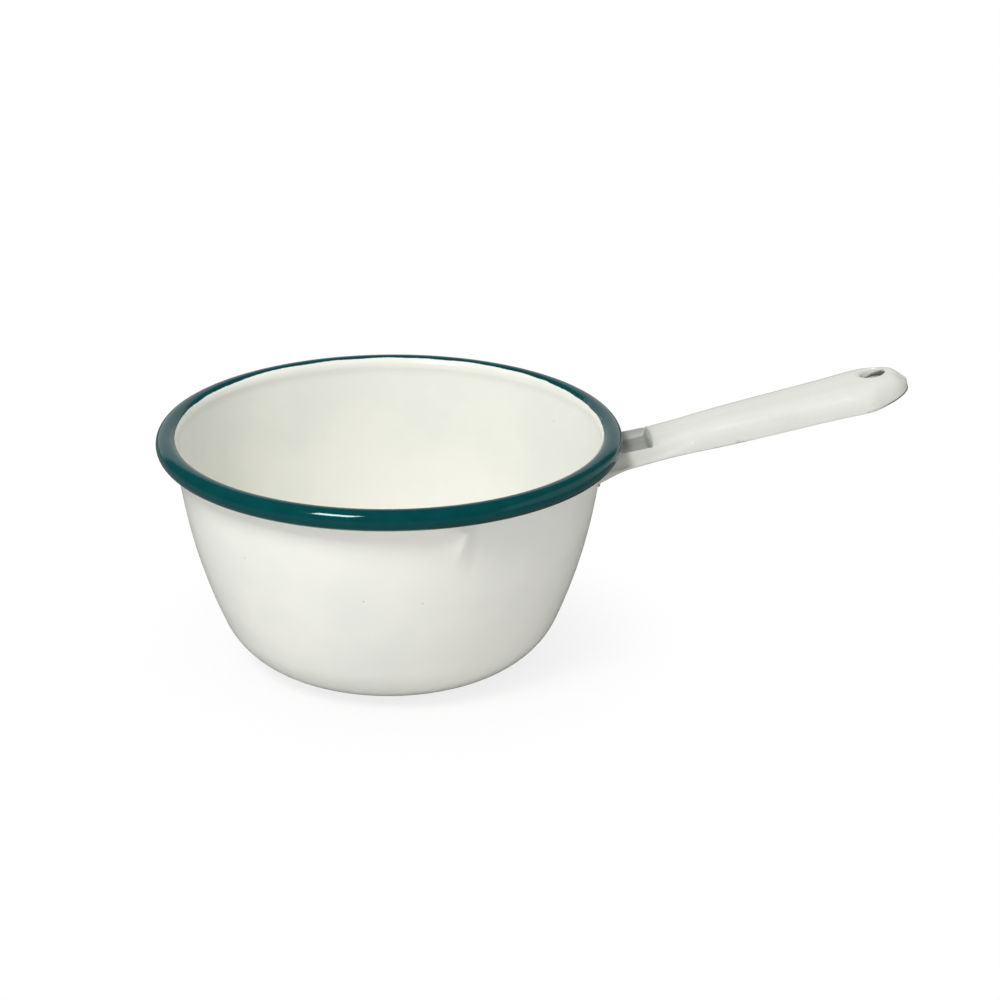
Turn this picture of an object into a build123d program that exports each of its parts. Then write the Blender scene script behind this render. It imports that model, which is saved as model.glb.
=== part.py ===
from build123d import *
import math
import os

# An enamelled milk pan: a pressed steel bowl with a curled rim and a pouring lip, and a pressed handle
# welded on below the rim. Glass enamel covers all the steel, white over most of it and green on the rim.
# Millimetres, +Z up. The origin is the middle of the flat base, on the surface that the pan stands on,
# and the handle points along +X.

# Driving dimensions of the pan
rim_diameter = 162.0
pan_height = 84.4
steel_thickness = 0.8
coat_thickness = 0.25
cut_overrun = 20.0

# Bowl: a straight upper wall, a long belly curve and a smaller curve into the flat base
wall_draft_deg = 9.1
belly_radius = 192.0
belly_end_deg = 22.6
base_corner_radius = 27.5

# Rim: the sheet curls outwards into a hollow bead that stands only a little inside the wall's inner
# face, and its edge stops short of the wall. Angles on the bead turn from its outermost line over its top.
bead_diameter = 7.2
bead_bulge = 0.4
inner_neck_radius = 12.0
outer_neck_radius = 0.9
curl_gap = 0.3
curl_gap_deg = 276.0
paint_inner_deg = 146.0
paint_outer_deg = 280.0

# Pouring lip: a shallow V pressed outwards in the wall under the bead
lip_azimuth_deg = -73.5
lip_reach = 1.9
lip_length = 25.0
lip_half_angle_deg = 7.5
lip_sink = 0.12
lip_cavity_depth = 3.0
lip_angle_shares = (-1.0, -0.72, -0.46, -0.22, 0.0, 0.18, 0.34, 0.5, 0.68)
lip_reach_shares = (0.0, 0.1, 0.38, 0.8, 1.0, 0.78, 0.36, 0.08, 0.0)
lip_drop_shares = (0.0, 0.25, 0.5, 0.75, 1.0)

# Handle: an inverted trough that rises outwards from the wall to a rounded, blunt nose. Stations along it
# start under the bead's centre, and the bead dips a little below the line of its crown.
handle_rise_deg = 14.0
bead_dip = 0.97
handle_length = 105.5
waist_station = 9.2
root_half_width = 10.8
waist_half_width = 9.0
end_half_width = 13.7
handle_height = 9.5
nose_length = 16.0
nose_height = 5.3
nose_plan_power = 1.6
nose_crown_power = 2.0
handle_squareness_share = 0.7
root_station_shares = (0.0, 0.35, 0.7)
grip_station_shares = (0.0, 0.3, 0.62, 0.9)
nose_station_shares = (0.0, 0.18, 0.36, 0.54, 0.7, 0.83, 0.92, 0.97, 0.995)

# Lower edge of the handle: the skirts deepen at the wall and lift a little at the nose
skirt_root_inset = 9.8
skirt_drop = 2.2
skirt_drop_length = 14.0
skirt_pull_share = 0.45
nose_lift = 0.8
nose_lift_length = 12.5

# Recess: the crown of the handle is pressed down where it passes under the bead
recess_half_width = 6.4
recess_depth = 3.4
recess_end = 11.2
recess_ramp_deg = 50.0
recess_corner_radius = 1.2

# Weld tab: the floor of the recess turns down against the wall and is spot-welded there
tab_half_width = 5.6
tab_length = 12.0
tab_corner_radius = 2.5
weld_diameter = 3.6
weld_penetration = 0.45
weld_side_step = 2.8
weld_edge_distance = 2.7
weld_spacing = 5.0

# Hanging hole: its edge is turned down into a short collar
hole_diameter = 8.6
hole_tip_distance = 11.5
collar_depth = 3.6
collar_flare_radius = 1.5

# Sizes worked out from the ones above
full_turn = 360.0
quarter_turn = 90.0
steel_outside = coat_thickness
steel_inside = coat_thickness + steel_thickness
wall_thickness = steel_inside + coat_thickness
bead_radius = bead_diameter / 2
bead_centre = Vector(rim_diameter / 2 - bead_radius, pan_height - bead_radius)
draft = math.radians(wall_draft_deg)
belly_end = math.radians(belly_end_deg)
rise = math.radians(handle_rise_deg)
bead_over_axis = handle_height + bead_radius - bead_dip
handle_start = -cut_overrun
nose_start = handle_length - nose_length
hole_radius = hole_diameter / 2
hole_station = handle_length - hole_tip_distance


def wall_direction(angle):
    """Unit vector that points into the wall where it leans by an angle from upright."""
    return Vector(-math.cos(angle), math.sin(angle))


def wall_head():
    """Point of the wall's outside line that is level with the bead's centre, inside the bead."""
    hidden = bead_radius - bead_bulge - wall_thickness
    return Vector(bead_centre.X - hidden / math.cos(draft), bead_centre.Y)


def wall_line_foot():
    """Lower end of the straight upper wall, so that the curves below it end level with the floor."""
    belly_height = belly_radius * (math.sin(belly_end) - math.sin(draft))
    corner_height = base_corner_radius * (1 - math.sin(belly_end))
    drop = bead_centre.Y - belly_height - corner_height
    return wall_head() - Vector(math.tan(draft), 1) * drop


def belly_centre_point():
    """Centre of the belly curve, which starts square to the straight wall."""
    return wall_line_foot() + wall_direction(draft) * belly_radius


def wall_edges(inset):
    """The wall's outline moved inwards by an inset: from inside the bead down to the axis."""
    belly_centre = belly_centre_point()
    corner_centre = belly_centre - wall_direction(belly_end) * (belly_radius - base_corner_radius)
    shift = wall_direction(draft) * inset
    head = wall_head() + shift
    middle = (draft + belly_end) / 2
    corner_middle = (belly_end + math.pi / 2) / 2
    belly_start_point = wall_line_foot() + shift
    belly_end_point = belly_centre - wall_direction(belly_end) * (belly_radius - inset)
    belly_middle_point = belly_centre - wall_direction(middle) * (belly_radius - inset)
    corner_end_point = corner_centre - wall_direction(math.pi / 2) * (base_corner_radius - inset)
    corner_middle_point = corner_centre - wall_direction(corner_middle) * (base_corner_radius - inset)
    axis_point = Vector(0, inset)
    return [
        Line(head, belly_start_point),
        ThreePointArc(belly_start_point, belly_middle_point, belly_end_point),
        ThreePointArc(belly_end_point, corner_middle_point, corner_end_point),
        Line(corner_end_point, axis_point),
    ]


def soften_necks(face, inset):
    """Round the two hollow corners where the wall runs into the bead."""
    radius = bead_radius - inset
    on_bead = face.vertices().filter_by(
        lambda v: abs((Vector(v.X, v.Y) - bead_centre).length - radius) < coat_thickness
        and v.Y < bead_centre.Y - coat_thickness
    )
    inner, outer = on_bead.sort_by(Axis.X)
    face = fillet(inner, inner_neck_radius + inset)
    return fillet(face.vertices().sort_by_distance(Vertex(outer.X, outer.Y, 0))[0], outer_neck_radius + inset)


def sheet_profile(inset):
    """Half section of the bowl's sheet and solid bead, thinner by an inset on every side."""
    outside = wall_edges(inset)
    inside = wall_edges(wall_thickness - inset)
    axis_edge = Line(outside[-1] @ 1, inside[-1] @ 1)
    head_edge = Line(outside[0] @ 0, inside[0] @ 0)
    band = make_face(outside + inside + [axis_edge, head_edge])
    bead = Pos(bead_centre.X, bead_centre.Y) * Circle(bead_radius - inset)
    return soften_necks(band + bead, inset)


def filled_profile(inset):
    """Half section of the bowl with its inside filled, for trimming what sits against its outside."""
    outside = wall_edges(inset)
    head = outside[0] @ 0
    axis_top = Vector(0, head.Y)
    body = make_face(outside + [Line(head, axis_top), Line(axis_top, outside[-1] @ 1)])
    bead = Pos(bead_centre.X, bead_centre.Y) * Circle(bead_radius - inset)
    return body + bead


def turned(face):
    """Turn a half section round the upright axis."""
    return revolve(Plane.XZ * face, Axis.Z, full_turn)


def painted_sector():
    """The part of the bead's section that the green enamel covers."""
    reach = bead_diameter
    start_deg = paint_outer_deg - full_turn
    arc = CenterArc(bead_centre, reach, start_deg, paint_inner_deg - start_deg)
    return make_face([Line(bead_centre, arc @ 0), arc, Line(arc @ 1, bead_centre)])


def curl_opening():
    """Section of the narrow gap between the sheet's curled edge and the wall."""
    slot = Pos(bead_radius / 2, 0) * Rectangle(bead_radius, curl_gap)
    return Pos(bead_centre.X, bead_centre.Y) * Rot(0, 0, curl_gap_deg) * slot


def wall_radius_at(height, inset):
    """Radius of the wall at a height above its base corner, moved inwards by an inset."""
    if height >= wall_line_foot().Y:
        return wall_head().X - (bead_centre.Y - height) * math.tan(draft) - inset / math.cos(draft)
    centre = belly_centre_point()
    return centre.X + math.sqrt((belly_radius - inset) ** 2 - (centre.Y - height) ** 2)


def lip_point(height, inset, angle_share, reach):
    """A point of the lip at a height: a share of its half angle, raised off the wall by a reach."""
    azimuth = math.radians(lip_azimuth_deg + lip_half_angle_deg * angle_share)
    radius = wall_radius_at(height, inset) + reach
    return Vector(radius * math.cos(azimuth), radius * math.sin(azimuth), height)


def lip_section(drop_share, inset, back):
    """Level section through the lip, from its raised front to a back face inside the wall."""
    height = bead_centre.Y - bead_radius / 2 - lip_length * drop_share
    rise = lip_reach * (1 - drop_share)
    front = [
        lip_point(height, inset, angle, rise * share - lip_sink)
        for angle, share in zip(lip_angle_shares, lip_reach_shares)
    ]
    first, last = lip_angle_shares[0], lip_angle_shares[-1]
    back_start = lip_point(height, back, first, 0)
    back_end = lip_point(height, back, last, 0)
    back_middle = lip_point(height, back, (first + last) / 2, 0)
    edges = [
        Edge.make_spline(front, parameters=lip_parameters()),
        Line(front[-1], back_end),
        ThreePointArc(back_end, back_middle, back_start),
        Line(back_start, front[0]),
    ]
    return Face(Wire(edges))


def lip_parameters():
    """The same knots for every lip section, so that the loft stays smooth."""
    first, last = lip_angle_shares[0], lip_angle_shares[-1]
    return [(angle - first) / (last - first) for angle in lip_angle_shares]


def lip_form(inset, back):
    """The raised V of the lip between two depths in the wall."""
    return loft([lip_section(share, inset, back) for share in lip_drop_shares])


def bowl_form(outside, inside):
    """The bowl's sheet between two insets, with its lip pressed out."""
    middle = wall_thickness / 2
    sheet = turned(sheet_profile(outside))
    raised = sheet + lip_form(outside, middle)
    return raised - lip_form(inside, inside + lip_cavity_depth)


def handle_frame():
    """The handle's own frame: X along it from under the bead, Z away from its open side."""
    return Pos(bead_centre.X, 0, bead_centre.Y) * Rot(0, -handle_rise_deg, 0) * Pos(0, 0, -bead_over_axis)


def half_width_at(station, inset):
    """Half width of the handle at a station along it."""
    if station <= waist_station:
        share = (station - handle_start) / (waist_station - handle_start)
        return root_half_width + (waist_half_width - root_half_width) * share - inset
    if station <= nose_start:
        share = (station - waist_station) / (nose_start - waist_station)
        return waist_half_width + (end_half_width - waist_half_width) * share - inset
    share = (station - nose_start) / (nose_length - inset)
    return (end_half_width - inset) * (1 - share**nose_plan_power) ** (1 / nose_plan_power)


def height_at(station, inset):
    """Height of the handle's crown at a station along it."""
    if station <= nose_start:
        return handle_height - inset
    share = (station - nose_start) / (nose_length - inset)
    fall = (1 - share**nose_crown_power) ** (1 / nose_crown_power)
    return nose_height + (handle_height - nose_height) * fall - inset


def arch_section(station, inset):
    """Section across the handle: upright skirts under a rounded crown."""
    wide = half_width_at(station, inset)
    high = height_at(station, inset)
    shoulder = high * handle_squareness_share
    crown = wide * handle_squareness_share
    left_foot, right_foot = (-wide, -cut_overrun), (wide, -cut_overrun)
    edges = [
        Line(left_foot, (-wide, 0)),
        Bezier((-wide, 0), (-wide, shoulder), (-crown, high), (0, high)),
        Bezier((0, high), (crown, high), (wide, shoulder), (wide, 0)),
        Line((wide, 0), right_foot),
        Line(right_foot, left_foot),
    ]
    across = Plane(origin=(station, 0, 0), x_dir=(0, 1, 0), z_dir=(1, 0, 0))
    return across * make_face(edges)


def handle_block(inset):
    """The handle's filled outer form, smaller by an inset, in the handle's frame."""
    root_run = waist_station - handle_start
    grip_run = nose_start - waist_station
    stations = [handle_start + root_run * share for share in root_station_shares]
    stations += [waist_station + grip_run * share for share in grip_station_shares]
    stations += [nose_start + (nose_length - inset) * share for share in nose_station_shares]
    return loft([arch_section(station, inset) for station in stations])


def recess_cut(inset):
    """What the pressed recess takes out of the crown, larger by an inset."""
    floor = handle_height - recess_depth - inset
    top = handle_height + cut_overrun
    ramp = math.radians(recess_ramp_deg)
    floor_end = recess_end + inset * math.tan(ramp / 2)
    ramp_end = floor_end + (top - floor) / math.tan(ramp)
    outline = Polyline(
        (handle_start - cut_overrun, floor),
        (floor_end, floor),
        (ramp_end, top),
        (handle_start - cut_overrun, top),
        close=True,
    )
    side = recess_half_width + inset
    block = extrude(Plane.XZ * make_face(outline), side, both=True)
    lower_edges = block.edges().filter_by(lambda edge: edge.center().Z < floor + recess_depth)
    rims = lower_edges.filter_by(Axis.X)
    return fillet(rims, recess_corner_radius + inset)


def underside_cut(inset):
    """What lies below the handle's lower edge, raised by an inset."""
    root = (-skirt_root_inset, inset - skirt_drop)
    level = (skirt_drop_length - skirt_root_inset, inset)
    pull = skirt_drop_length * skirt_pull_share
    nose_foot = (handle_length - nose_lift_length, inset)
    nose_knee = (handle_length - nose_lift_length / 2, inset)
    nose_tip = (handle_length, inset + nose_lift)
    far = handle_length + cut_overrun
    near = handle_start - cut_overrun
    low = -cut_overrun * 2
    edges = [
        Line((near, root[1]), root),
        Bezier(root, (root[0] + pull, root[1] / 2), (level[0] - pull, inset), level),
        Line(level, nose_foot),
        Bezier(nose_foot, nose_knee, nose_tip),
        Line(nose_tip, (far, nose_tip[1])),
        Line((far, nose_tip[1]), (far, low)),
        Line((far, low), (near, low)),
        Line((near, low), (near, root[1])),
    ]
    return extrude(Plane.XZ * make_face(edges), end_half_width + cut_overrun, both=True)


def hole_cut(inset):
    """The hanging hole with its flared top, wider by an inset."""
    radius = hole_radius + inset
    flare = collar_flare_radius - inset
    crown = height_at(hole_station, inset)
    rim = radius + flare
    edges = [
        Line((0, -cut_overrun), (radius, -cut_overrun)),
        Line((radius, -cut_overrun), (radius, crown - flare)),
        RadiusArc((radius, crown - flare), (rim, crown), flare),
        Line((rim, crown), (rim, crown + cut_overrun)),
        Line((rim, crown + cut_overrun), (0, crown + cut_overrun)),
        Line((0, crown + cut_overrun), (0, -cut_overrun)),
    ]
    return Pos(hole_station, 0, 0) * turned(make_face(edges))


def collar_form(inset):
    """The turned-down collar round the hanging hole, as a filled plug under the crown."""
    radius = hole_radius + wall_thickness - inset
    foot = handle_height - collar_depth + inset
    plug = Cylinder(radius, cut_overrun, align=(Align.CENTER, Align.CENTER, Align.MIN))
    return Pos(hole_station, 0, foot) * plug & handle_block(inset)


def handle_form(outside, inside):
    """The handle's shell between two insets, in the handle's frame."""
    shell = handle_block(outside) - recess_cut(outside) - underside_cut(outside)
    shell = shell - (handle_block(inside) - recess_cut(inside))
    return shell + collar_form(outside) - hole_cut(outside)


def tab_top_height():
    """Height at which the middle of the recess's floor meets the wall, where the tab turns down."""
    below_bead = bead_radius - bead_dip + recess_depth + wall_thickness / 2
    drop = below_bead / math.cos(rise) + (bead_centre.X - wall_head().X) * math.tan(rise)
    return bead_centre.Y - drop / (1 - math.tan(draft) * math.tan(rise))


def tab_form(front, grow):
    """The weld tab with its outline grown all round. It reaches from inside the wall to a front face."""
    top = tab_top_height()
    low = top - tab_length - grow
    corners = [
        (wall_radius_at(height, inset), height)
        for height, inset in ((low, wall_thickness), (low, front), (top, front), (top, wall_thickness))
    ]
    slab = turned(make_face(Polyline(corners, close=True)))
    width = (tab_half_width + grow) * 2
    height = top - low + cut_overrun
    outline = RectangleRounded(width, height, tab_corner_radius + grow)
    foot = Plane(origin=(0, 0, low + height / 2), x_dir=(0, 1, 0), z_dir=(1, 0, 0))
    return slab & extrude(foot * outline, rim_diameter)


def weld_nuggets():
    """Four spot welds, each a short plug of fused steel across the joint of tab and wall."""
    nuggets = []
    low_height = tab_top_height() - tab_length + weld_edge_distance
    for height in (low_height, low_height + weld_spacing):
        for side in (-weld_side_step, weld_side_step):
            radius = wall_radius_at(height, steel_outside)
            depth = math.sqrt(radius**2 - side**2)
            plug = Rot(0, quarter_turn + wall_draft_deg, 0) * Cylinder(weld_diameter / 2, weld_penetration * 2)
            nuggets.append(Pos(depth, side, height) * plug)
    return nuggets


def save(name, shape):
    """Write one piece, or a group of alike pieces, as its own file."""
    shape.label = name
    export_step(shape, f"parts/{name}.step")


os.makedirs("parts", exist_ok=True)

nuggets = weld_nuggets()

bead_hollow = Pos(bead_centre.X, bead_centre.Y) * Circle(bead_radius - steel_inside)
steel_bowl_whole = bowl_form(steel_outside, steel_inside)
steel_bowl = steel_bowl_whole - turned(bead_hollow) - turned(curl_opening())

steel_handle_whole = handle_frame() * handle_form(steel_outside, steel_inside)
steel_handle_whole += tab_form(steel_outside - steel_thickness, 0)
steel_handle_whole -= turned(filled_profile(steel_outside))
steel_handle = steel_handle_whole
for nugget in nuggets:
    steel_bowl -= nugget
    steel_handle -= nugget

bowl_coat = bowl_form(0, wall_thickness) - steel_bowl_whole - steel_handle_whole
green_zone = turned(painted_sector()) - lip_form(-coat_thickness, wall_thickness / 2)
rim_coat = bowl_coat & green_zone
white_coats = (bowl_coat - green_zone).solids()
outside_coat, inside_coat = sorted(white_coats, key=lambda coat: coat.bounding_box().min.Z)

handle_coat = handle_frame() * handle_form(0, wall_thickness)
handle_coat += tab_form(-steel_thickness, coat_thickness)
handle_coat -= turned(filled_profile(0))
handle_coat -= steel_handle_whole

save("bowl_pressing", steel_bowl)
save("handle_pressing", steel_handle)
save("spot_welds", Compound(children=nuggets))
save("bowl_inside_enamel", inside_coat)
save("bowl_outside_enamel", outside_coat)
save("rim_green_enamel", rim_coat)
save("handle_enamel", handle_coat)
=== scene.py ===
import math
import bpy
import bmesh
from mathutils import Matrix, Vector


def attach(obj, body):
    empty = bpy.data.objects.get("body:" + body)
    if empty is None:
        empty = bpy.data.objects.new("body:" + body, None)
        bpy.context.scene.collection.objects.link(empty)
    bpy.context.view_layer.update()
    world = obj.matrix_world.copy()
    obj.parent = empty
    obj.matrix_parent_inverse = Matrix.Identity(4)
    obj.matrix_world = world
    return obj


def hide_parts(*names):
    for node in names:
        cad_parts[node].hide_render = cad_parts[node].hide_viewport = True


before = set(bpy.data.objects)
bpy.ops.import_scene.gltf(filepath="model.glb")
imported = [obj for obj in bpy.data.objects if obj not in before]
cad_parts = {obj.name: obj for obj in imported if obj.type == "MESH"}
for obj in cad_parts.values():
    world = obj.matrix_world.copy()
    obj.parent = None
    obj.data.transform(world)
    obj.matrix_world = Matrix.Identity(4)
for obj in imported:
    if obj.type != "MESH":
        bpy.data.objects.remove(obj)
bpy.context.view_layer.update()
bpy.ops.object.select_all(action="DESELECT")

# Camera at the photograph's angle: about 22 degrees above the level, in front of the pouring lip,
# with the handle running out to the right.
camera_place = Vector((-0.02655, -0.76024, 0.36430))
camera_aim = Vector((0.03879, 0.00169, 0.05477))
camera_roll = math.radians(0.51)
camera_lens = 83.7
camera_film = 36.0


def facing(place, aim):
    """The pose of a camera or a lamp that stands at a place and faces its aim."""
    turn = (aim - place).to_track_quat("-Z", "Y").to_matrix().to_4x4()
    return Matrix.Translation(place) @ turn


bpy.ops.object.camera_add()
camera = bpy.context.object
camera.name = "photo_camera"
camera.data.sensor_width = camera_film
camera.data.lens = camera_lens
camera.matrix_world = facing(camera_place, camera_aim) @ Matrix.Rotation(camera_roll, 4, "Z")
bpy.context.scene.camera = camera
bpy.context.scene.view_settings.view_transform = "Standard"

# Bowl pressing. One blank of low-carbon steel, 0.8 mm thick, deep drawn into the bowl with its
# pouring lip, then trimmed and curled outwards at the rim into a hollow bead. Enamel seals it.
bowl_steel_light = (0.50, 0.50, 0.51, 1)
bowl_steel_dark = (0.36, 0.355, 0.35, 1)
draw_marks = 2600
draw_mark_stretch = 0.06
draw_mark_depth = 0.00003
scale_blotches = 90
steel_roughness = 0.52


class Wire:
    """A socket in a material's nodes. Sums written on it add the Math nodes that work them out."""

    def __init__(self, tree, socket=None):
        self.tree = tree
        self.socket = socket

    def node(self, kind, settings, sockets):
        """Add a node, with its settings set first and then the values or links of its sockets."""
        made = self.tree.nodes.new(kind)
        for name, value in settings.items():
            setattr(made, name, value)
        for name, value in sockets.items():
            fitting = [s for s in made.inputs if s.enabled and s.name == name]
            socket = made.inputs[name] if isinstance(name, int) else fitting[0]
            if isinstance(value, Wire):
                self.tree.links.new(value.socket, socket)
            else:
                socket.default_value = value
        shown = [s for s in made.outputs if s.enabled]
        return Wire(self.tree, shown[0])

    def output(self, name):
        """Another output of the same node."""
        return Wire(self.tree, self.socket.node.outputs[name])

    def sum(self, operation, *values):
        """A Math node of this kind on these values."""
        return self.node("ShaderNodeMath", {"operation": operation}, dict(enumerate(values)))

    def __add__(self, other):
        return self.sum("ADD", self, other)

    def __radd__(self, other):
        return self.sum("ADD", other, self)

    def __sub__(self, other):
        return self.sum("SUBTRACT", self, other)

    def __rsub__(self, other):
        return self.sum("SUBTRACT", other, self)

    def __mul__(self, other):
        return self.sum("MULTIPLY", self, other)

    def __rmul__(self, other):
        return self.sum("MULTIPLY", other, self)

    def __truediv__(self, other):
        return self.sum("DIVIDE", self, other)

    def __rtruediv__(self, other):
        return self.sum("DIVIDE", other, self)

    def __gt__(self, other):
        return self.sum("GREATER_THAN", self, other)

    def along(self):
        """The three lengths of this place."""
        parts = self.node("ShaderNodeSeparateXYZ", {}, {"Vector": self})
        return parts.output("X"), parts.output("Y"), parts.output("Z")

    def length(self):
        """How far this place lies from the origin."""
        measured = self.node("ShaderNodeVectorMath", {"operation": "LENGTH"}, {0: self})
        return measured.output("Value")

    def noise(self, scale, detail, roughness=0.5):
        """A soft mottle on this place, with so many blotches to the metre."""
        return self.node("ShaderNodeTexNoise", {}, {
            "Vector": self, "Scale": scale, "Detail": detail, "Roughness": roughness})

    def fade(self, low, high):
        """0 below the low value, 1 above the high one, and a smooth step between."""
        return self.node("ShaderNodeMapRange", {"interpolation_type": "SMOOTHSTEP"}, {
            "Value": self, "From Min": low, "From Max": high})

    def blend(self, first, second):
        """The first colour where this mask is 0 and the second where it is 1."""
        return self.node("ShaderNodeMix", {"data_type": "RGBA"}, {
            "Factor": self, "A": first, "B": second})

    def stretch(self, x, y, z):
        """This place with its three lengths scaled, to draw a mottle out into streaks."""
        return self.node("ShaderNodeMapping", {}, {"Vector": self, "Scale": (x, y, z)})

    def bump(self, depth, normal=None):
        """Dents and swells of this height, so many metres deep."""
        sockets = {"Height": self, "Strength": 1.0, "Distance": depth}
        if normal:
            sockets["Normal"] = normal
        return self.node("ShaderNodeBump", {}, sockets)


def new_finish(name, steady):
    """An empty material with its shader's steady values set, and the place on the piece."""
    finish = bpy.data.materials.new(name)
    finish.use_nodes = True
    shader = finish.node_tree.nodes["Principled BSDF"]
    for socket, value in steady.items():
        shader.inputs[socket].default_value = value
    place = Wire(finish.node_tree).node("ShaderNodeTexCoord", {}, {}).output("Object")
    return finish, shader, place


def join_up(shader, sockets):
    """Link each painted value to the shader's socket of that name."""
    for name, wire in sockets.items():
        wire.tree.links.new(wire.socket, shader.inputs[name])


def dress(piece, finish):
    """Give a piece its one finish."""
    piece.data.materials.clear()
    piece.data.materials.append(finish)


def drawn_steel(name, light, dark):
    """Bare pressed steel: satin, with fine draw marks and faint scale blotches."""
    finish, shader, place = new_finish(name, {"Metallic": 1.0})
    marks = place.stretch(1, 1, draw_mark_stretch).noise(draw_marks, 3)
    blotches = place.noise(scale_blotches, 4, 0.6)
    wear = (blotches * 0.7 + marks * 0.3).fade(0.35, 0.68)
    join_up(shader, {
        "Base Color": wear.blend(dark, light),
        "Roughness": steel_roughness - wear * 0.18 + marks * 0.06,
        "Normal": marks.bump(draw_mark_depth),
    })
    return finish


bowl_steel = drawn_steel("drawn_bowl_steel", bowl_steel_light, bowl_steel_dark)
dress(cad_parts["bowl_pressing"], bowl_steel)

# Bowl inside enamel. A white glass coat, 0.25 mm thick, dipped and fired over the steel. It pools
# a little unevenly, so it is glossy with a faint orange peel, pinholes and grey specks.
enamel_white = (0.80, 0.80, 0.738, 1)
enamel_thin = (0.735, 0.742, 0.69, 1)
enamel_speck = (0.22, 0.21, 0.18, 1)
enamel_shine = 0.5
enamel_roughness = 0.12
enamel_relief = 0.00018
pool_mottle = 24
haze_mottle = 240
peel_mottle = 420
swell_mottle = 55
speck_cells = 260
speck_width = 0.075
specked_share = 0.035


def speck_mask(place):
    """Sparse round specks: one in the middle of a cell, kept in a small share of the cells."""
    cells = place.node("ShaderNodeTexVoronoi", {}, {"Vector": place, "Scale": speck_cells})
    shade = cells.output("Color")
    chosen = shade.node("ShaderNodeSeparateColor", {}, {"Color": shade})
    return (1 - cells.fade(speck_width * 0.4, speck_width)) * (chosen > 1 - specked_share)


def white_glass(place, thick, thin):
    """Colour, roughness and surface of fired white enamel."""
    pools = place.noise(pool_mottle, 3, 0.55).fade(0.34, 0.66)
    haze = place.noise(haze_mottle, 3, 0.6)
    specks = speck_mask(place)
    body = (pools * 0.75 + haze * 0.25).blend(thin, thick)
    peel = place.noise(peel_mottle, 2, 0.45)
    swell = place.noise(swell_mottle, 2, 0.5)
    surface = (peel * 0.08 + swell - specks * 0.04).bump(enamel_relief)
    return specks.blend(body, enamel_speck), haze * 0.09 + enamel_roughness, surface


def bowl_glass(name):
    """The finish of a coat on the bowl."""
    finish, shader, place = new_finish(name, {"Specular IOR Level": enamel_shine})
    colour, gloss, surface = white_glass(place, enamel_white, enamel_thin)
    join_up(shader, {"Base Color": colour, "Roughness": gloss, "Normal": surface})
    return finish


dress(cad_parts["bowl_inside_enamel"], bowl_glass("white_inside_enamel"))

# Bowl outside enamel. The same glass outside, where it follows a sharp keel that the press left
# on the pouring lip. The keel leans left as it runs down, and its right flank is the steeper one.
lip_azimuth = math.radians(-73.8)
lip_lean = 0.13
lip_left = 0.012
lip_right = 0.0066
lip_height = 0.0016
lip_foot = 0.059
lip_full = 0.071
lip_top = 0.074
lip_neck = 0.0775
lip_face = 0.0008
wall_radius = 0.0735
merging_reach = 0.000002
shading_angle = math.radians(32)


def eased(share):
    """A share held between 0 and 1, with soft ends."""
    share = min(max(share, 0), 1)
    return share * share * (3 - 2 * share)


def off_keel(spot):
    """How far a point lies to the right of the keel, along the wall."""
    around = (math.atan2(spot.y, spot.x) - lip_azimuth) * wall_radius
    return around + (lip_top - spot.z) * lip_lean


def by_lip(spot):
    """Whether a point lies on the keel or its flanks."""
    return lip_foot < spot.z < lip_neck and -lip_left < off_keel(spot) < lip_right


def keeled(spot):
    """Where a point of the plain lip goes when its keel is pressed out."""
    aside = off_keel(spot)
    flank = 1 - min(max(aside / lip_right, -aside / lip_left), 1)
    grown = eased((spot.z - lip_foot) / (lip_full - lip_foot))
    tall = grown * (1 - eased((spot.z - lip_top) / (lip_neck - lip_top)))
    out = 1 + lip_height * flank * flank * tall / math.hypot(spot.x, spot.y)
    return Vector((spot.x * out, spot.y * out, spot.z))


def reshaped(node, worked, shaper, finest):
    """A copy of a CAD piece, with finer faces where it is worked and each corner moved there."""
    bpy.ops.object.select_all(action="DESELECT")
    piece = bpy.data.objects.new("pressed_" + node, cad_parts[node].data.copy())
    bpy.context.scene.collection.objects.link(piece)
    sheet = bmesh.new()
    sheet.from_mesh(piece.data)
    bmesh.ops.remove_doubles(sheet, verts=sheet.verts, dist=merging_reach)
    for longest in (finest * 4, finest * 2, finest, finest):
        long_edges = [e for e in sheet.edges if e.calc_length() > longest
                      and (worked(e.verts[0].co) or worked(e.verts[1].co))]
        bmesh.ops.subdivide_edges(sheet, edges=long_edges, cuts=1)
        bmesh.ops.triangulate(sheet, faces=sheet.faces)
    for corner in sheet.verts:
        if worked(corner.co):
            corner.co = shaper(corner.co)
    sheet.to_mesh(piece.data)
    sheet.free()
    piece.select_set(True)
    bpy.context.view_layer.objects.active = piece
    bpy.ops.object.shade_smooth_by_angle(angle=shading_angle)
    even = piece.modifiers.new("even_shading", "WEIGHTED_NORMAL")
    even.keep_sharp = True
    bpy.ops.object.modifier_apply(modifier=even.name)
    piece.select_set(False)
    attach(piece, "root")
    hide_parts(node)
    return piece


outside_coat = reshaped("bowl_outside_enamel", by_lip, keeled, lip_face)
dress(outside_coat, bowl_glass("white_outside_enamel"))

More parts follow.
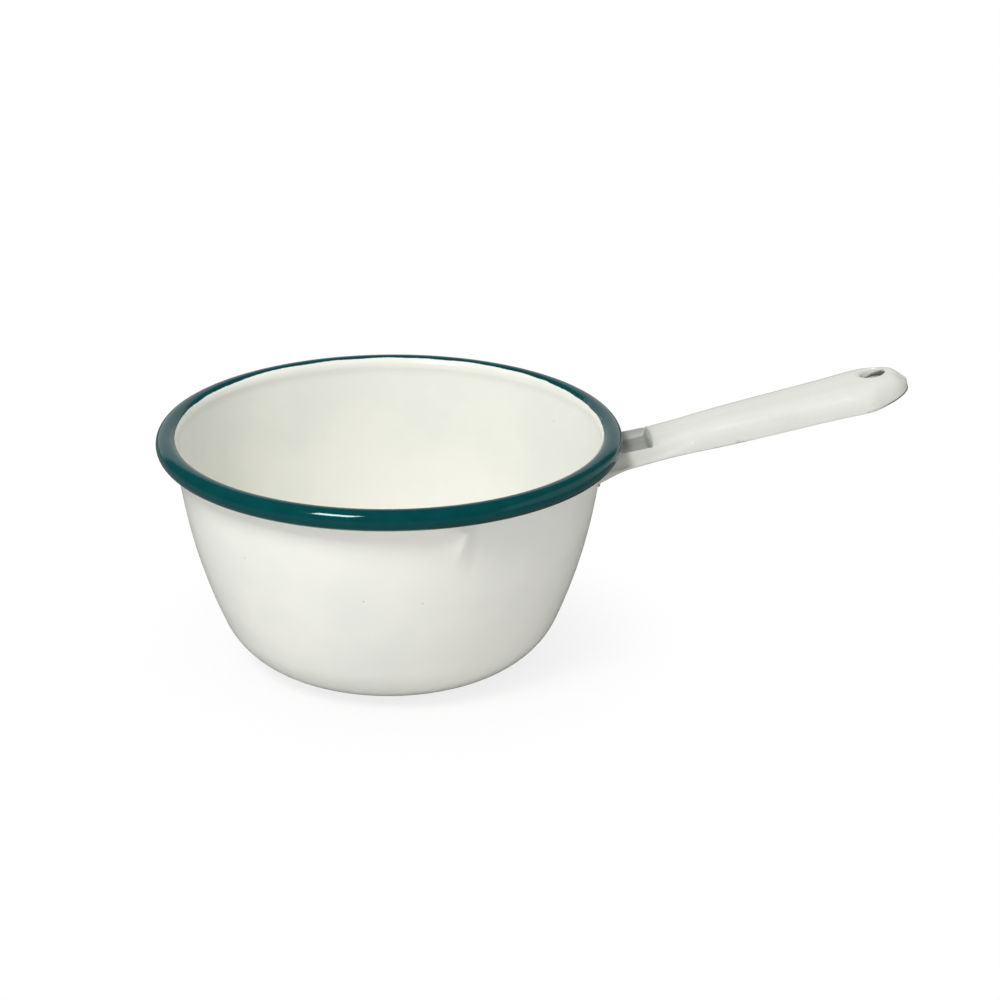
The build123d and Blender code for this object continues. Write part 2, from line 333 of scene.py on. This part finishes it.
# Rim enamel. A second coat of dark green glass, brushed on over the white along the curled bead
# and fired again. Its edges waver, it stops short inside the rim, and it turns near black along
# the underside of the bead at the front right.
bead_ring = 0.0774
bead_height = 0.0808
rim_green = (0.0004, 0.054, 0.059, 1)
rim_green_thick = (0.0003, 0.041, 0.045, 1)
rim_dark_under = (0.006, 0.012, 0.013, 1)
rim_shine = 0.4
rim_shine_tint = (0.8, 0.95, 0.95, 1)
rim_roughness = 0.055
rim_relief = 0.00016
inner_edge_turn = math.radians(146)
inner_edge_back_turn = math.radians(24)
dark_under_turn = math.radians(17)
dark_under_slope = math.radians(35)
edge_blur = 0.05
dark_under_blur = 0.04
waver_mottle = 70
ragged_mottle = 620
rim_pool_mottle = 130
rim_swell_mottle = 60
brush_mottle = 1500
brush_run = 0.12
brush_turn = 0.0022

finish, shader, place = new_finish("green_rim_enamel", {
    "Specular IOR Level": rim_shine, "Specular Tint": rim_shine_tint})
along_x, along_y, up = place.along()
radius = place.stretch(1, 1, 0).length()
round_bead = place.sum("ARCTAN2", up - bead_height, radius - bead_ring)
toward_back = along_y / bead_ring
waver = place.noise(waver_mottle, 3, 0.55) - 0.5
ragged = place.noise(ragged_mottle, 3, 0.65) - 0.5
inner_edge = inner_edge_turn - toward_back.fade(0.1, 0.95) * inner_edge_back_turn
inner_edge = inner_edge + waver * 0.35 + ragged * 0.08
bare = (round_bead - inner_edge).fade(-edge_blur, edge_blur)
# Near black along the bead's underside at the front right, with a ragged upper edge.
under_edge = (toward_back + 0.5) * dark_under_slope + waver * 0.2 + ragged * 0.4 - dark_under_turn
dark_under = 1 - (round_bead - under_edge).fade(-dark_under_blur, dark_under_blur)
dark_under = dark_under * (along_x / bead_ring).fade(0, 0.2) * (1 - toward_back.fade(-0.4, -0.1))
pools = place.noise(rim_pool_mottle, 3, 0.6).fade(0.3, 0.7)
brushed = place.node("ShaderNodeCombineXYZ", {}, {
    "X": along_x * brush_run, "Y": along_y * brush_run, "Z": round_bead * brush_turn})
streaks = brushed.noise(brush_mottle, 3, 0.6)
white = white_glass(place, enamel_white, enamel_thin)[0]
green = (pools * 0.6 + streaks * 0.4).blend(rim_green_thick, rim_green)
coat_step = (1 - bare) * 0.25
swell = place.noise(rim_swell_mottle, 2, 0.5)
join_up(shader, {
    "Base Color": bare.blend(dark_under.blend(green, rim_dark_under), white),
    "Roughness": pools * 0.03 + rim_roughness + dark_under * 0.35 + bare * 0.06,
    "Normal": (streaks * 0.02 + swell * 0.9 + coat_step).bump(rim_relief),
})
dress(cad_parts["rim_green_enamel"], finish)

# Handle pressing. A strip of the same sheet, folded down along both sides into a hollow-backed
# grip. Its root is pressed wide and shallow under the bead, with a dished middle between two low
# flanges, and a tongue turned down there is spot welded to the bowl.
handle_rise = math.radians(14)
handle_length = 0.1055
bead_over_axis = 0.01213
waist_width = 0.0090
waist_station = 0.0092
end_width = 0.0137
root_width = 0.0130
root_end = 0.011
grip_start = 0.040
steel_face = 0.0016
handle_steel_light = (0.48, 0.48, 0.49, 1)
handle_steel_dark = (0.33, 0.325, 0.32, 1)

# The bowl's outside wall where the root meets it, and how far off it the root keeps its seat.
wall_foot_radius = 0.0722
wall_foot_height = 0.06035
wall_draft = math.tan(math.radians(9.1))
seat_reach = 0.0015
seat_run = 0.006

# How far the root's lower edge rises, and how far its dish, flanks and flanges drop, each at its
# level above the lower edge of the handle as it comes from the CAD.
skirt_rise = 0.0016
dish_level = 0.0061
dish_drop = 0.0029
flank_level = 0.0082
flank_drop = 0.0016
flange_level = 0.0095
flange_drop = 0.0018
past_any_level = 1.0
root_lifts = (
    (-past_any_level, skirt_rise),
    (0.0, skirt_rise),
    (dish_level, -dish_drop),
    (flank_level, -flank_drop),
    (flange_level, -flange_drop),
    (past_any_level, -flange_drop),
)
flank_swell = 0.0013
flange_lift = 0.0006
flange_lift_run = 0.003
flange_lift_depth = 0.002

# The nose, drawn in from its two sides, and lowered near the tip.
nose_station = 0.0895
nose_keep = 0.0052
nose_draw = 0.12
nose_fall = 0.30
nose_fall_share = 0.70


def along_handle(spot):
    """A point's station along the handle, its place across and its level above the lower edge."""
    out, up = spot.x - bead_ring, spot.z - bead_height
    station = out * math.cos(handle_rise) + up * math.sin(handle_rise)
    level = up * math.cos(handle_rise) - out * math.sin(handle_rise) + bead_over_axis
    return station, spot.y, level


def off_handle(station, across, level):
    """The point at a station, a place across and a level on the handle."""
    over = level - bead_over_axis
    out = station * math.cos(handle_rise) - over * math.sin(handle_rise)
    up = station * math.sin(handle_rise) + over * math.cos(handle_rise)
    return Vector((bead_ring + out, across, bead_height + up))


def from_wall(spot):
    """How far a point stands off the bowl's outside wall."""
    over_foot = spot.z - wall_foot_height
    return math.hypot(spot.x, spot.y) - wall_foot_radius - over_foot * wall_draft


def drawn_nose(station, across, level):
    """Where a point of the plain handle goes when its nose is drawn in and lowered."""
    share = (station - nose_station) / (handle_length - nose_station)
    middle = math.sin(math.pi * min(max(share, 0), 1)) ** 2
    drawn = max(abs(across) - nose_keep, 0) * nose_draw * middle
    fall = level * nose_fall * eased((share - nose_fall_share) / (1 - nose_fall_share))
    return off_handle(station, across - math.copysign(drawn, across), level - fall)


def root_lift(station, level):
    """How far the root rises at a level, with a little more for the flanges next to the bead."""
    below = [row for row in root_lifts if row[0] <= level][-1]
    above = [row for row in root_lifts if row[0] > level][0]
    climb = (level - below[0]) / (above[0] - below[0])
    lift = below[1] + (above[1] - below[1]) * (climb + eased(climb)) / 2
    near_bead = 1 - eased((station - root_end) / flange_lift_run)
    return lift + flange_lift * near_bead * eased((level - dish_level) / flange_lift_depth)


def pressed_root(spot):
    """Where a point of the plain handle goes when its root is pressed wide and shallow."""
    station, across, level = along_handle(spot)
    if station > nose_station:
        return drawn_nose(station, across, level)
    pressed = eased((grip_start - station) / (grip_start - root_end))
    if pressed == 0:
        return spot
    grip_share = max(station - waist_station, 0) / (nose_station - waist_station)
    width = waist_width + (end_width - waist_width) * grip_share
    share = min(abs(across) / width, 1)
    wider = abs(across) * (root_width / width - 1) + flank_swell * math.sin(math.pi * share)
    across += math.copysign(wider * pressed, across)
    moved = off_handle(station, across, level + root_lift(station, level) * pressed)
    stand_off = from_wall(spot)
    hold = 1 - eased((stand_off - seat_reach) / seat_run)
    slide = (stand_off - from_wall(moved)) * hold / math.hypot(moved.x, moved.y)
    return Vector((moved.x * (1 + slide), moved.y * (1 + slide), moved.z))


def by_root_or_nose(spot):
    """Whether a point of the handle lies in its root or its nose."""
    station = along_handle(spot)[0]
    return station < grip_start or station > nose_station


handle_sheet = reshaped(
    "handle_pressing", by_root_or_nose, pressed_root, steel_face)
dress(handle_sheet, drawn_steel("drawn_handle_steel", handle_steel_light, handle_steel_dark))

# Handle enamel. The same white glass, dipped, so it runs thin and grey along the edges, where the
# hand has dulled it. Its whites are painted darker than the bowl's as painted shade, with more
# painted shade in the hanging hole, near the root and over the dish, a painted shadow along the
# nose's lower edge, and a chip at the tip.
# Painted shade: the handle's whites are darker than the bowl's white of the same glass.
handle_white_shaded = (0.655, 0.66, 0.61, 1)
handle_thin_shaded = (0.61, 0.62, 0.575, 1)
# Grey of worn edges and mottle, also laid on the root as painted shade.
wear_and_shade_grey = (0.50, 0.51, 0.475, 1)
# Dark colour for the painted shadow along the nose and the painted shade in the hanging hole.
painted_shade_dark = (0.07, 0.065, 0.055, 1)
# Painted shade laid over the dish at the root.
dish_painted_shade = (0.235, 0.24, 0.225, 1)
chip_rust = (0.13, 0.075, 0.045, 1)
coat_face = 0.0013
ragged_edge_mottle = 900
handle_mottle = 150
handle_mottle_stretch = 0.35

# Worn and chipped edges, and a painted shadow along the nose's lower edge: how far from the tip
# they start, and the levels between which they fade.
bevel_run = 0.0125
bevel_rise = 0.0008
edge_shadow_run = 0.013
edge_shadow_start = 0.002
edge_shadow_fade = (0.00012, 0.0003)
wear_start = (0.01, 0.03)
wear_fade = (0.0001, 0.0008)
chip_place = (0.1822, -0.0012, 0.0953)
chip_fade = (0.0011, 0.0014)
chip_depth = 0.0002

# The hanging hole, with painted shade low on its far wall.
hole_station = 0.094
hole_radius = 0.0043
hole_fade = (hole_radius + 0.0003, hole_radius + 0.0009)
hole_shade_slope = 0.32
hole_shade_fade = (0.0062, 0.0074)

# Painted shade near the root, and painted shade over the dish at the root.
root_shade_end = (0.004, 0.027)
root_shade_share = 0.85
dish_width = 0.0096
dish_side_fade = (dish_width - 0.0006, dish_width + 0.0006)
dish_floor = 0.0033
dish_floor_fade = (dish_floor + 0.0015, dish_floor + 0.0046)
dish_end = 0.0134
dish_end_fade = (dish_end - 0.0022, dish_end + 0.0026)

finish, shader, place = new_finish("white_handle_enamel", {"Specular IOR Level": enamel_shine})
along_x, side, along_z = place.along()
out, up = along_x - bead_ring, along_z - bead_height
station = out * math.cos(handle_rise) + up * math.sin(handle_rise)
level = up * math.cos(handle_rise) - out * math.sin(handle_rise) + bead_over_axis
white, gloss, white_surface = white_glass(place, handle_white_shaded, handle_thin_shaded)
ragged = place.noise(ragged_edge_mottle, 3, 0.65) - 0.5
mottle = place.stretch(handle_mottle_stretch, 1, 1).noise(handle_mottle, 4, 0.62)

over_edge = level - (station - (handle_length - bevel_run)).fade(0, bevel_run) * bevel_rise
by_tip = (station - (handle_length - edge_shadow_run)).fade(0, edge_shadow_start)
edge_wear = (1 - (over_edge + ragged * 0.0004).fade(*wear_fade)) * station.fade(*wear_start)
# Painted shadow: a thin dark line along the lower edge near the tip.
edge_shadow = (1 - (over_edge + ragged * 0.0005).fade(*edge_shadow_fade)) * by_tip
off_tip = place.node("ShaderNodeVectorMath", {"operation": "DISTANCE"}, {0: place, 1: chip_place})
chip = 1 - (off_tip.output("Value") + ragged * 0.0012).fade(*chip_fade)

from_hole = place.node("ShaderNodeCombineXYZ", {}, {"X": station - hole_station, "Y": side})
hole_wall = 1 - from_hole.length().fade(*hole_fade)
# Painted shade on the lower part of the hanging hole's wall.
hole_shade_level = level + ragged * 0.0008 - (station - hole_station) * hole_shade_slope
hole_shade = hole_wall * (1 - hole_shade_level.fade(*hole_shade_fade))

# Painted shade: the root greys more the nearer it comes to the bowl.
root_shade = (1 - station.fade(*root_shade_end)) * root_shade_share
# Real wear along the edges and the mottle, plus painted shade at the root.
worn_and_shaded = (edge_wear * 0.6 + mottle.fade(0.52, 0.75) * 0.22 + root_shade).blend(white, wear_and_shade_grey)
# Painted shade over the dish: between its sides, low down, and up to its end near the bead.
in_dish = 1 - place.sum("ABSOLUTE", side).fade(*dish_side_fade)
in_dish = in_dish * (1 - level.fade(*dish_floor_fade))
dish_shade = in_dish * (1 - (station + ragged * 0.001).fade(*dish_end_fade)) * (1.0 - mottle * 0.2)
dish_shaded = dish_shade.blend(worn_and_shaded, dish_painted_shade)
join_up(shader, {
    "Base Color": chip.blend((edge_shadow + hole_shade * 0.9).blend(dish_shaded, painted_shade_dark), chip_rust),
    "Roughness": gloss + mottle * 0.08 + edge_wear * 0.1 + chip * 0.4,
    "Normal": (0 - chip).bump(chip_depth, white_surface),
})
handle_coat = reshaped("handle_enamel", by_root_or_nose, pressed_root, coat_face)
dress(handle_coat, finish)

# Spot welds. Four nuggets where the sheets of the handle's tongue and the bowl were fused
# between electrodes before enamelling. The heat left them dark, and the enamel hides them.
weld_scorched = (0.20, 0.17, 0.15, 1)
weld_bright = (0.36, 0.36, 0.38, 1)
weld_roughness = 0.38
weld_heat_mottle = 900
weld_pits = 2400
weld_pit_depth = 0.00004

finish, shader, place = new_finish("fused_weld_steel", {"Metallic": 1.0})
heat = place.noise(weld_heat_mottle, 3, 0.6)
pits = place.noise(weld_pits, 2, 0.6)
join_up(shader, {
    "Base Color": heat.fade(0.35, 0.65).blend(weld_scorched, weld_bright),
    "Roughness": pits * 0.25 + weld_roughness,
    "Normal": pits.bump(weld_pit_depth),
})
nuggets = reshaped("spot_welds", by_root_or_nose, pressed_root, steel_face)
dress(nuggets, finish)

# Studio. A white floor that runs back past the view, a pale surround, and one soft lamp high at
# the front left. What the glaze mirrors is dull but for two pale panels, low down behind the pan
# and at its right.
floor_size = 6
floor_grey = (0.76, 0.76, 0.76, 1)
mirrored_floor_grey = (0.2, 0.2, 0.2, 1)
white_light = (1, 1, 1, 1)
seat_share = 0.35
near_share = 0.8
far_share = 1.0
seat_fade = (0.0356, 0.0375)
far_fade = (0.045, 0.115)

bpy.ops.mesh.primitive_plane_add(size=floor_size, location=(0, 0, 0))
floor = bpy.context.object
floor.name = "studio_floor"
paper = bpy.data.materials.new("floor_paper")
paper.use_nodes = True
paper_shader = paper.node_tree.nodes["Principled BSDF"]
paper_shader.inputs["Base Color"].default_value = floor_grey
paper_shader.inputs["Roughness"].default_value = 1.0
paper_shader.inputs["Specular IOR Level"].default_value = 0.0
start = Wire(paper.node_tree)
rays = start.node("ShaderNodeLightPath", {}, {})
glow = start.node("ShaderNodeEmission", {}, {"Color": white_light, "Strength": 1.0})
reach = start.node("ShaderNodeTexCoord", {}, {}).output("Object").length()
at_seat = reach.fade(*seat_fade) * (near_share - seat_share) + seat_share
seen = rays.output("Is Camera Ray") * (reach.fade(*far_fade) * (far_share - near_share) + at_seat)
matt = Wire(paper.node_tree, paper_shader.outputs[0])
dull = start.node("ShaderNodeBsdfDiffuse", {}, {"Color": mirrored_floor_grey})
lit = start.node("ShaderNodeMixShader", {}, {0: rays.output("Is Glossy Ray"), 1: matt, 2: dull})
shown = start.node("ShaderNodeMixShader", {}, {0: seen, 1: lit, 2: glow})
join_up(paper.node_tree.nodes["Material Output"], {"Surface": shown})
floor.data.materials.append(paper)

low_fade = (0.45, 0.85)
back_panel = 0.6
back_panel_fade = (0.70, 0.82)
side_panel = 0.5
side_panel_fade = (0.72, 0.82)
mirrored_fill = 0.07
plain_fill = 0.73
side_flags = 0.14
side_flags_fade = (0.3, 1.0)

surround = bpy.data.worlds.new("studio_surround")
bpy.context.scene.world = surround
surround.use_nodes = True
back = surround.node_tree.nodes["Background"]
back.inputs["Color"].default_value = white_light
start = Wire(surround.node_tree)
rays = start.node("ShaderNodeLightPath", {}, {})
seen = rays.output("Is Camera Ray")
mirrored = rays.output("Is Glossy Ray")
way_x, way_y, way_z = start.node("ShaderNodeTexCoord", {}, {}).output("Generated").along()
panels = way_y.fade(*back_panel_fade) * back_panel + way_x.fade(*side_panel_fade) * side_panel
mirrored_look = (1 - way_z.fade(*low_fade)) * panels + mirrored_fill
plain_look = plain_fill - start.sum("ABSOLUTE", way_x).fade(*side_flags_fade) * side_flags
strength = seen + (1 - seen) * (mirrored * mirrored_look + (1 - mirrored) * plain_look)
join_up(back, {"Strength": strength})

key_place = Vector((-0.55, -0.80, 1.22))
key_aim = Vector((0, 0, 0.05))
key_size = 0.42
key_power = 15.7
bpy.ops.object.light_add(type="AREA")
key = bpy.context.object
key.name = "key_softbox"
key.data.shape = "SQUARE"
key.data.size = key_size
key.data.energy = key_power
key.matrix_world = facing(key_place, key_aim)
